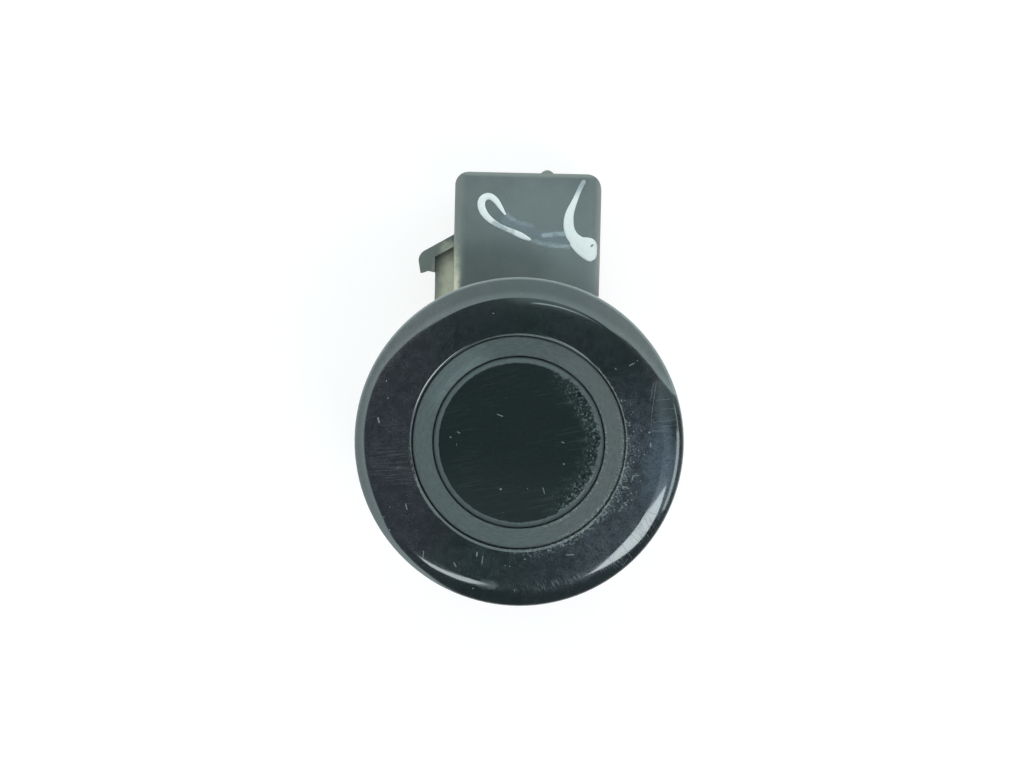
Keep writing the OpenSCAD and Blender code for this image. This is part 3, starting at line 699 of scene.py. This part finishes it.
# painted sheen: the rim's upper shoulder is lighter where it mirrors the bright band
shoulder_sheen = bezel.times(ramp(tree, calc(tree, "ABSOLUTE", across), 5, 10), ramp(tree, ahead, 2, 7))
shoulder_sheen = bezel.times(shoulder_sheen, ramp(tree, bezel.radius(), 13.0, 13.6))
colour = blend(tree, bezel.times(shoulder_sheen, 0.08), colour, (0.24, 0.165, 0.17))
fine = ramp(tree, bezel.use(grain, Size=0.15), 0.3, 0.7, -0.42, 0.42)
fine = calc(tree, "ADD", fine, ramp(tree, bezel.use(grain, Size=0.75), 0.3, 0.7, -0.25, 0.25))
colour = vector(tree, "MULTIPLY_ADD", fine, colour, colour)
colour = blend(tree, bezel.times(hatched, 0.2), colour, (0.17, 0.20, 0.20))
colour = blend(tree, bezel.times(film, 0.22), colour, (0.15, 0.19, 0.25))
colour = blend(tree, bezel.times(marks, front), colour, (0.34, 0.37, 0.36))
bezel.relief(calc(tree, "MULTIPLY_ADD", crossed, -0.3, bezel.use(grain, Size=0.55)), 0.0022)
dulled = bezel.most(torn, bezel.times(film, 0.4))
finishes["trim_bezel"] = bezel.give(
    Base_Color=colour,
    Roughness=calc(tree, "MULTIPLY_ADD", dulled, 0.2, ramp(tree, front, 0, 1, 0.42, 0.14)),
    Coat_Weight=bezel.times(front, calc(tree, "MULTIPLY_ADD", torn, -0.6, 1.0)),
)
print("bezel:", len(tree.nodes), "nodes")

# %% [markdown]
# ## Membrane: satin black paint on aluminium
# The pot's face is the part that rings, so it is painted thinly. Its rounded edge is grey all the
# way round, and grit has pitted the paint at the right, with dark and pale chips. The radius from
# the sensing axis tells the edge from the face.

# %% Pot finish
pot = Finish("pot_paint", 0.2, IOR=1.45)
tree = pot.tree
torn_edge = calc(tree, "MULTIPLY_ADD", pot.use(grain, Size=1.1), 2.6, pot.radius())
gritty = pot.times(ramp(tree, torn_edge, 6.5, 8.2), ramp(tree, pot.axis("X"), 2.0, 5.4))
ragged = calc(tree, "SUBTRACT", pot.use(grain, Size=0.5), 0.5)
ragged = pot.times(ragged, ramp(tree, gritty, 0, 1, 0.16, 1.5))
edge_strip = ramp(tree, calc(tree, "ADD", pot.radius(), ragged), 7.2, 7.34)
mottle = pot.use(grain, Size=0.3)
brushed = pot.use(hairlines, Turn=1.35, Spacing=0.1, Threshold=0.58)
dark_grit = ramp(tree, pot.use(grain, Size=0.28), 0.52, 0.59)
dark_grit = pot.times(dark_grit, ramp(tree, edge_strip, 0, 1, 0.85, 0.25))
pale_grit = ramp(tree, pot.use(grain, Size=0.2), 0.54, 0.64)
strays = pot.use(specks, Spacing=1.1, Size=0.05, Share=0.3)
MEMBRANE_Z = 2.7  # mm
nicked = pot.scores(
    [
        (-1.97, 2.54, -1.47, 2.35, 0.03),
        (2.32, -4.05, 2.47, -4.54, 0.03),
        (-6.21, 0.36, -6.16, 0.31, 0.07),
        (-5.55, 0.83, -5.36, 0.73, 0.04),
        (-1.52, -4.25, -1.50, -4.27, 0.14),
        (3.94, 0.15, 4.10, 0.08, 0.05),
        (4.13, -1.80, 4.15, -1.85, 0.07),
    ],
    level=MEMBRANE_Z, waver=0.1, Softness=0.05,
)
marks = pot.most(
    pot.times(pale_grit, gritty, 0.5), pot.times(strays, 0.6),
    pot.times(nicked, 0.7), pot.times(brushed, 0.05),
)
face = blend(tree, mottle, (0.0090, 0.0135, 0.0138), (0.0175, 0.0245, 0.0248))
worn = pot.times(gritty, ramp(tree, pot.use(grain, Size=0.7), 0.35, 0.65, 0.2, 0.7))
face = blend(tree, worn, face, (0.050, 0.060, 0.058))
# painted sheen: the face is lighter towards the bottom, where it mirrors the windows below
face = blend(tree, ramp(tree, pot.axis("Y"), 0.0, -6.0, 0.0, 0.4), face, (0.030, 0.0355, 0.0355))
face = blend(tree, marks, face, (0.20, 0.23, 0.22))
strip = blend(tree, mottle, (0.061, 0.071, 0.073), (0.118, 0.131, 0.133))
skin = blend(tree, edge_strip, face, strip)
skin = blend(tree, pot.times(dark_grit, gritty), skin, (0.006, 0.009, 0.009))
pot.relief(pot.use(grain, Size=0.12), 0.005)
finishes["membrane_pot"] = pot.give(
    Base_Color=skin,
    Roughness=calc(tree, "ADD", ramp(tree, edge_strip, 0, 1, 0.17, 0.55), pot.times(marks, 0.3)),
)
print("pot:", len(tree.nodes), "nodes")

# %% [markdown]
# ## Decoupling ring: grey silicone
# Silicone is matt and slightly mottled, and it holds dust. Its curved face has a painted highlight
# at the upper left, strongest along the inner edge, and painted shade at the top, and it is more
# neutral at the right. Wiping left streaks that run round it, a grain fed with the way round and
# the radius. Crumbs sit along both edges, where the gaps catch them.

# %% Ring finish
ring = Finish("ring_silicone", 0.72, IOR=1.41)
tree = ring.tree
mottle = ring.use(grain, Size=1.4)
fine = ring.use(grain, Size=0.14)
edges = ring.most(ramp(tree, ring.radius(), 9.15, 9.45), ramp(tree, ring.radius(), 8.2, 8.0))
dusty = ring.use(patch, Centre=(8.5, -4.0, 2.5), Reach=(9.0, 10.0, 4.0), Ragged=0.8)
crumbs = ring.times(ramp(tree, ring.use(grain, Size=0.17), 0.54, 0.60), edges, dusty)
# painted highlight at the upper left and along the inner edge there
pale = ring.use(patch, Centre=(-5.8, 6.2, 2.5), Reach=(4.5, 4.5, 4.0), Ragged=0.4)
side = ramp(tree, ring.axis("X"), -3, 8)
colour = blend(tree, side, (0.096, 0.107, 0.107), (0.112, 0.114, 0.114))
colour = blend(tree, ring.times(ramp(tree, mottle, 0.3, 0.7), 0.3), colour, (0.110, 0.124, 0.124))
colour = blend(tree, ring.times(pale, 0.25), colour, (0.16, 0.185, 0.185))
lip = ring.times(pale, ramp(tree, ring.radius(), 8.8, 8.3))
colour = blend(tree, ring.times(lip, 0.35), colour, (0.19, 0.21, 0.21))
# painted shade at the top
shaded = ring.use(patch, Centre=(0.5, 8.8, 2.5), Reach=(6.0, 3.0, 4.0), Ragged=0.4)
colour = blend(tree, ring.times(shaded, 0.4), colour, (0.065, 0.073, 0.073))
colour = blend(tree, ramp(tree, fine, 0.45, 0.62, 0, 0.2), colour, (0.052, 0.060, 0.060))
STREAK_SCALE = 2.0  # much less than the radius, so the streaks are long
way_round = calc(tree, "ARCTAN2", ring.axis("Y"), ring.axis("X"))
way_round = calc(tree, "MULTIPLY", way_round, STREAK_SCALE)
lanes = add(tree, "ShaderNodeCombineXYZ", X=way_round, Y=ring.radius()).outputs[0]
lanes = ramp(tree, ring.use(grain, Place=lanes, Size=0.16), 0.3, 0.7, -0.13, 0.13)
colour = vector(tree, "MULTIPLY_ADD", lanes, colour, colour)
lint = ramp(tree, ring.use(grain, Size=0.26), 0.54, 0.68, 0, 0.14)
colour = blend(tree, lint, colour, (0.145, 0.158, 0.158))
colour = blend(tree, ring.times(crumbs, 0.7), colour, (0.34, 0.35, 0.33))
ring.relief(fine, 0.01)
roughness = ramp(tree, mottle, 0.3, 0.7, 0.64, 0.8)
finishes["decoupling_ring"] = ring.give(Base_Color=colour, Roughness=roughness)
print("ring:", len(tree.nodes), "nodes")

# %% [markdown]
# ## Housing: charcoal plastic
# The body is glass-filled plastic with the fine matt grain of an eroded mould. The rear cover is
# made of the same, so a function makes both. On the housing, the face of the socket has painted
# shade at its lower left, and painted light in the middle and at the lower right.

# %% Housing: plastic
def plastic(name):
    """Charcoal plastic with its grain and clouding; the caller adds what is special."""
    made = Finish(name, 0.5, IOR=1.5)
    clouds = ramp(made.tree, made.use(grain, Size=3.0), 0.3, 0.7)
    fine = made.use(grain, Size=0.16)
    pale_grain = made.times(ramp(made.tree, fine, 0.3, 0.7), 0.4)
    shade = blend(made.tree, clouds, (0.134, 0.141, 0.139), (0.163, 0.169, 0.164))
    shade = blend(made.tree, pale_grain, shade, (0.178, 0.195, 0.195))
    made.relief(fine, 0.012)
    put(made.shader.inputs["Roughness"], ramp(made.tree, fine, 0.3, 0.7, 0.42, 0.56))
    return made, shade


cover, colour = plastic("cover_plastic")
finishes["rear_cover"] = cover.give(Base_Color=colour)
housing, colour = plastic("housing_plastic")
tree = housing.tree
SOCKET_Z = -7.0  # mm
# painted shade at the lower left of the socket's face, painted light in the middle and lower right
shade_lower_left = housing.use(patch, Centre=(-4.8, 15.0, SOCKET_Z), Reach=(5.0, 5.0, 4.0), Ragged=0.5)
colour = blend(tree, housing.times(shade_lower_left, 0.2), colour, (0.075, 0.085, 0.082))
lit_lower_right = housing.use(patch, Centre=(5.0, 15.5, SOCKET_Z), Reach=(4.5, 5.0, 4.0), Ragged=0.5)
colour = blend(tree, housing.times(lit_lower_right, 0.5), colour, (0.24, 0.255, 0.252))
lit_middle = housing.use(patch, Centre=(1.6, 20.6, SOCKET_Z), Reach=(6.5, 4.6, 4.0), Ragged=0.5)
colour = blend(tree, housing.times(lit_middle, 0.45), colour, (0.21, 0.228, 0.230))
print("cover:", len(cover.tree.nodes), "nodes; housing, plain:", len(tree.nodes))

# %% [markdown]
# The socket's rounded edges are painted pale, a painted highlight where they catch the light, and
# beige dust lies on the ledge beside the latch, painted paler than dust alone to stand in for light
# that the ledge's shade holds back. Dust settles on what faces up, so the normal's height limits
# it.

# %% Housing: painted edge highlights and dust
x, y = housing.axis("X"), housing.axis("Y")
# painted highlight on the socket's rounded left, right and top edges
lit_left_edge = housing.times(ramp(tree, x, -5.5, -6.8), ramp(tree, y, 22.0, 15.0, 0.7, 1.2))
rubbed = housing.most(lit_left_edge, ramp(tree, x, 6.2, 6.85), ramp(tree, y, 24.1, 24.6))
rubbed = housing.times(rubbed, ramp(tree, y, 13.0, 16.0), ramp(tree, housing.axis("Z"), -9.5, -8.0))
colour = blend(tree, housing.times(rubbed, 0.55), colour, (0.36, 0.355, 0.31))
upward = add(tree, "ShaderNodeSeparateXYZ", Vector=housing.facing).outputs["Z"]
faces_up = ramp(tree, upward, 0.1, 0.55)
latch_dust = housing.times(ramp(tree, x, -7.4, -8.2), faces_up, 0.3)
colour = blend(tree, latch_dust, colour, (0.32, 0.30, 0.25))
ledge = housing.times(ramp(tree, x, -5.9, -6.5), ramp(tree, x, -8.6, -7.2, 0.45, 1.0))
# beige dust on the ledge, partly painted light against the shade of the block and bezel
ledge_dust_and_light = housing.use(patch, Centre=(-7.2, 13.6, -9.5), Reach=(2.2, 5.4, 5.0), Ragged=0.6)
uneven = ramp(tree, housing.use(grain, Size=0.8), 0.3, 0.6, 0.85, 1.0)
ledge_dust_and_light = housing.times(ledge, ledge_dust_and_light, uneven, faces_up)
colour = blend(tree, ledge_dust_and_light, colour, (0.95, 0.83, 0.64))
print("housing, dusty:", len(tree.nodes), "nodes")

# %% [markdown]
# An inspection mark was put on the socket's face with paint. Its two thick ends come later, as a
# piece of their own. Between them the pen dragged only a thin film, which has no height: a few
# wide, soft scores, broken up by a grain that is stretched sideways.

# %% Housing finish
film = housing.scores(
    [
        (-1.9, 20.2, -0.5, 19.45, 0.5),
        (-0.5, 19.45, 1.1, 18.75, 0.7),
        (1.1, 18.75, 3.6, 18.42, 0.9),
    ],
    level=SOCKET_Z, waver=0.4, Softness=0.5,
)
dragged = housing.scores(
    [
        (0.1, 18.48, 1.5, 18.06, 0.08),
        (1.5, 18.06, 3.9, 17.80, 0.10),
        (1.6, 18.86, 3.5, 19.04, 0.10),
    ],
    level=SOCKET_Z, waver=0.35, Softness=0.26,
)
faint = housing.scores(
    [(-1.87, 20.70, -1.02, 20.05, 0.10), (-1.02, 20.05, 0.6, 19.70, 0.06)],
    level=SOCKET_Z, waver=0.3, Softness=0.26,
)
along = vector(tree, "MULTIPLY", housing.place, (0.5, 1.0, 1.0))
streaks = ramp(tree, housing.use(grain, Place=along, Size=0.55), 0.34, 0.66)
for mask, thinnest, thickest, tone in (
    (film, 0.4, 0.8, (0.195, 0.222, 0.246)),
    (dragged, 0.3, 0.8, (0.46, 0.51, 0.54)),
    (faint, 0.2, 0.45, (0.40, 0.44, 0.48)),
):
    thickness = ramp(tree, streaks, 0, 1, thinnest, thickest)
    colour = blend(tree, housing.times(mask, thickness), colour, tone)
finishes["housing"] = housing.give(Base_Color=colour)
print("housing:", len(tree.nodes), "nodes")

# %% [markdown]
# ## Terminals and the sealed parts
# The blades are tin-plated brass: a metal, with faint draw marks along it. The parts behind them
# are never in sight unless the sensor is cut open, but each still gets the finish of what it is
# made of, so that a cut view reads well.

# %% Metals and inner parts
def inner(name, size, low, high, roughness, depth, **constants):
    """A mottled finish between two colours."""
    made = Finish(name, roughness, **constants)
    tone = made.use(grain, Size=size)
    made.relief(made.use(grain, Size=size * 0.3), depth)
    spread = ramp(made.tree, tone, 0.3, 0.7)
    rough = ramp(made.tree, tone, 0.3, 0.7, roughness - 0.06, roughness + 0.06)
    return made.give(Base_Color=blend(made.tree, spread, low, high), Roughness=rough)


tin = Finish("tinned_brass", 0.4, Metallic=1.0)
drawn = tin.use(hairlines, Turn=0.0, Spacing=0.12, Threshold=0.5)
tin_tone = blend(tin.tree, tin.use(grain, Size=0.8), (0.56, 0.54, 0.49), (0.68, 0.66, 0.61))
tin.relief(drawn, 0.0008)
tinned = tin.give(
    Base_Color=blend(tin.tree, tin.times(drawn, 0.4), tin_tone, (0.40, 0.38, 0.34)),
    Roughness=ramp(tin.tree, drawn, 0, 1, 0.36, 0.5),
)
copper = inner(
    "copper_enamel", 0.3, (0.50, 0.24, 0.12), (0.66, 0.36, 0.20), 0.35, 0.004, Metallic=1.0
)
ceramic = inner("capacitor_ceramic", 0.5, (0.36, 0.23, 0.11), (0.46, 0.31, 0.16), 0.5, 0.006)
resin = inner("chip_resin", 0.3, (0.016, 0.016, 0.018), (0.028, 0.028, 0.030), 0.55, 0.006)
for name in ("terminal_supply", "terminal_signal", "terminal_ground"):
    finishes[name] = tinned
for name in ("piezo_lead", "ground_lead", "transformer_winding"):
    finishes[name] = copper
for name in ("buffer_capacitor", "tuning_capacitor"):
    finishes[name] = ceramic
for name in ("control_chip", "chip_resistors"):
    finishes[name] = resin
for name, *look in (
    ("piezo_disc", "piezo_ceramic", 0.6, (0.56, 0.54, 0.49), (0.68, 0.66, 0.60), 0.4, 0.004),
    ("damping_foam", "fine_foam", 0.25, (0.58, 0.55, 0.43), (0.76, 0.73, 0.61), 0.9, 0.06),
    ("pot_plug", "cast_silicone", 1.2, (0.44, 0.44, 0.42), (0.54, 0.54, 0.52), 0.6, 0.008),
    ("circuit_board", "solder_mask", 0.9, (0.022, 0.12, 0.05), (0.034, 0.16, 0.07), 0.32, 0.008),
    ("transformer_core", "ferrite", 0.25, (0.040, 0.040, 0.044), (0.065, 0.065, 0.070), 0.6, 0.01),
    ("potting", "potting_resin", 2.5, (0.010, 0.010, 0.011), (0.016, 0.016, 0.018), 0.18, 0.02),
):
    finishes[name] = inner(*look)
print("finishes for", len(finishes), "nodes")

# %% [markdown]
# ## Inspection mark: white paint, put on by hand
# Someone ticked the socket's face with a white paint pen: a hairpin at the left, where the pen was
# pressed down and turned, and a thick stroke at the right that ends in a blob. Paint has a body,
# so each stroke is a curve whose points carry the pen's width, rounded off at both ends, converted
# to a mesh and pressed flat. The blob runs on to the socket's rounded edge, so every point is let
# down on to the housing along a ray.

# %% Brush strokes
TIP_ANGLES = (35, 60, 80, 89)  # degrees round a stroke's rounded end


def brush_stroke(points, thickness):
    """Flat bead of paint along (x, y, width) points in mm, lying on height zero, as a bmesh."""
    path = bpy.data.curves.new("stroke", "CURVE")
    path.dimensions = "3D"
    path.bevel_depth = 0.5 * MM
    path.bevel_resolution = 4
    path.use_fill_caps = True
    tips = []
    for (x0, y0, width), (x1, y1, _) in ((points[0], points[1]), (points[-1], points[-2])):
        outward = Vector((x0 - x1, y0 - y1)).normalized() * width / 2
        tip = []
        for angle in map(radians, TIP_ANGLES):
            x, y = x0 + outward.x * sin(angle), y0 + outward.y * sin(angle)
            tip.append((x, y, width * cos(angle)))
        tips.append(tip)
    points = [*reversed(tips[0]), *points, *tips[1]]
    line = path.splines.new("NURBS")
    line.points.add(len(points) - 1)
    for point, (x, y, width) in zip(line.points, points):
        point.co = (x * MM, y * MM, 0, 1)
        point.radius = width
    line.use_endpoint_u = True
    line.order_u = 3
    line.resolution_u = 10
    carrier = bpy.data.objects.new("stroke", path)
    solid = carrier.to_mesh()
    bead = bmesh.new()
    bead.from_mesh(solid)
    carrier.to_mesh_clear()
    bpy.data.objects.remove(carrier)
    bmesh.ops.remove_doubles(bead, verts=bead.verts, dist=0.001 * MM)
    bmesh.ops.recalc_face_normals(bead, faces=bead.faces)
    half = max(v.co.z for v in bead.verts)
    bmesh.ops.scale(bead, vec=(1, 1, thickness * MM / half), verts=bead.verts)
    return bead


def drape(bead, ground):
    """Sets a bead down on the surface below it."""
    above, down = 0.05, Vector((0, 0, -1))  # metres; rays start well above the sensor
    for vert in bead.verts:
        hit = ground.ray_cast(Vector((vert.co.x, vert.co.y, above)), down)[0]
        vert.co.z += hit.z


print("brush ready")

# %% [markdown]
# Each row of points is one stroke: x, y and the pen's width in millimetres. The blob takes three
# strokes that lie over each other.

# %% Inspection mark
PAINT_HEIGHT = 0.07  # mm
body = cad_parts["housing"]
corners = [body.matrix_world @ v.co for v in body.data.vertices]
socket_face = BVHTree.FromPolygons(corners, [face.vertices for face in body.data.polygons])
strokes = {
    "hairpin": [
        (-2.07, 20.76, 0.20), (-2.49, 21.37, 0.42), (-3.01, 22.11, 0.58), (-3.64, 22.47, 0.62),
        (-4.26, 22.15, 0.68), (-4.37, 21.45, 0.72), (-3.98, 20.65, 0.66), (-3.21, 19.98, 0.50),
        (-2.19, 19.44, 0.42), (-1.18, 19.08, 0.50), (-0.42, 18.73, 0.58), (0.28, 18.43, 0.25),
    ],
    "upright": [
        (5.22, 23.93, 0.40), (4.95, 23.42, 0.42), (4.69, 22.79, 0.42), (4.34, 21.90, 0.54),
        (3.98, 21.02, 0.78), (3.88, 20.14, 0.96), (3.96, 19.39, 1.00), (4.35, 18.65, 1.10),
        (5.12, 18.10, 1.25), (5.70, 17.70, 1.60),
    ],
    "tail": [(4.28, 18.06, 0.40), (4.85, 17.52, 0.60), (5.42, 17.18, 0.85), (5.95, 17.0, 1.05)],
    "corner": [
        (4.50, 18.45, 0.55), (5.60, 18.43, 0.66), (6.24, 18.25, 0.78), (6.28, 17.40, 0.78),
        (6.18, 17.02, 0.85),
    ],
}
mark_mesh = bpy.data.meshes.new("inspection_mark")
whole = bmesh.new()
for points in strokes.values():
    bead = brush_stroke(points, PAINT_HEIGHT)
    drape(bead, socket_face)
    bead.to_mesh(mark_mesh)
    bead.free()
    whole.from_mesh(mark_mesh)
for face in whole.faces:
    face.smooth = True
whole.to_mesh(mark_mesh)
whole.free()
inspection_mark = bpy.data.objects.new("inspection_mark", mark_mesh)
scene.collection.objects.link(inspection_mark)
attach(inspection_mark, "root")
print("inspection mark:", len(mark_mesh.polygons), "faces")

# %% [markdown]
# The paint itself is white and glossy, thinner and greyer where the pen ran dry, with one small
# pit in the blob where a bubble burst.

# %% Paint finish
paint = Finish("marking_paint", 0.3, IOR=1.5)
tree = paint.tree
thin = paint.use(grain, Size=0.7)
PAINT_Z = -6.95  # mm
flat = {"level": PAINT_Z, "Heed": (1, 1, 0)}
pit = paint.scores([(6.11, 17.95, 6.19, 18.03, 0.16)], waver=0.15, Softness=0.06, **flat)
fading = ramp(tree, paint.axis("Y"), 22.2, 23.7)
rubbed = paint.scores([(-3.0, 19.8, -1.5, 19.15, 0.3)], waver=0.3, Softness=0.4, **flat)
rubbed = paint.times(rubbed, ramp(tree, thin, 0.35, 0.6, 0.35, 0.8))
colour = blend(tree, ramp(tree, thin, 0.3, 0.75), (0.98, 0.90, 0.885), (0.91, 0.87, 0.87))
colour = blend(tree, paint.times(fading, 0.8), colour, (0.30, 0.325, 0.345))
colour = blend(tree, rubbed, colour, (0.36, 0.39, 0.42))
colour = blend(tree, paint.times(pit, 0.9), colour, (0.20, 0.22, 0.23))
paint.relief(paint.use(grain, Size=0.4), 0.01)
roughness = ramp(tree, thin, 0.3, 0.75, 0.22, 0.4)
mark_mesh.materials.append(paint.give(Base_Color=colour, Roughness=roughness))
print("paint:", len(tree.nodes), "nodes")

# %% [markdown]
# ## Putting the finishes on
# A frame node keeps its mesh, and only its material slots are filled.

# %% Assign
for name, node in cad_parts.items():
    if not node.material_slots:
        node.data.materials.append(finishes[name])
    for slot in node.material_slots:
        slot.material = finishes[name]
print("dressed:", len(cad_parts), "nodes")

# %% [markdown]
# ## The dressed sensor's box
# The only thing added to the sensor's shape is the paint mark, which lies well inside the bare
# sensor's box, so the dressed sensor's box should be the same.
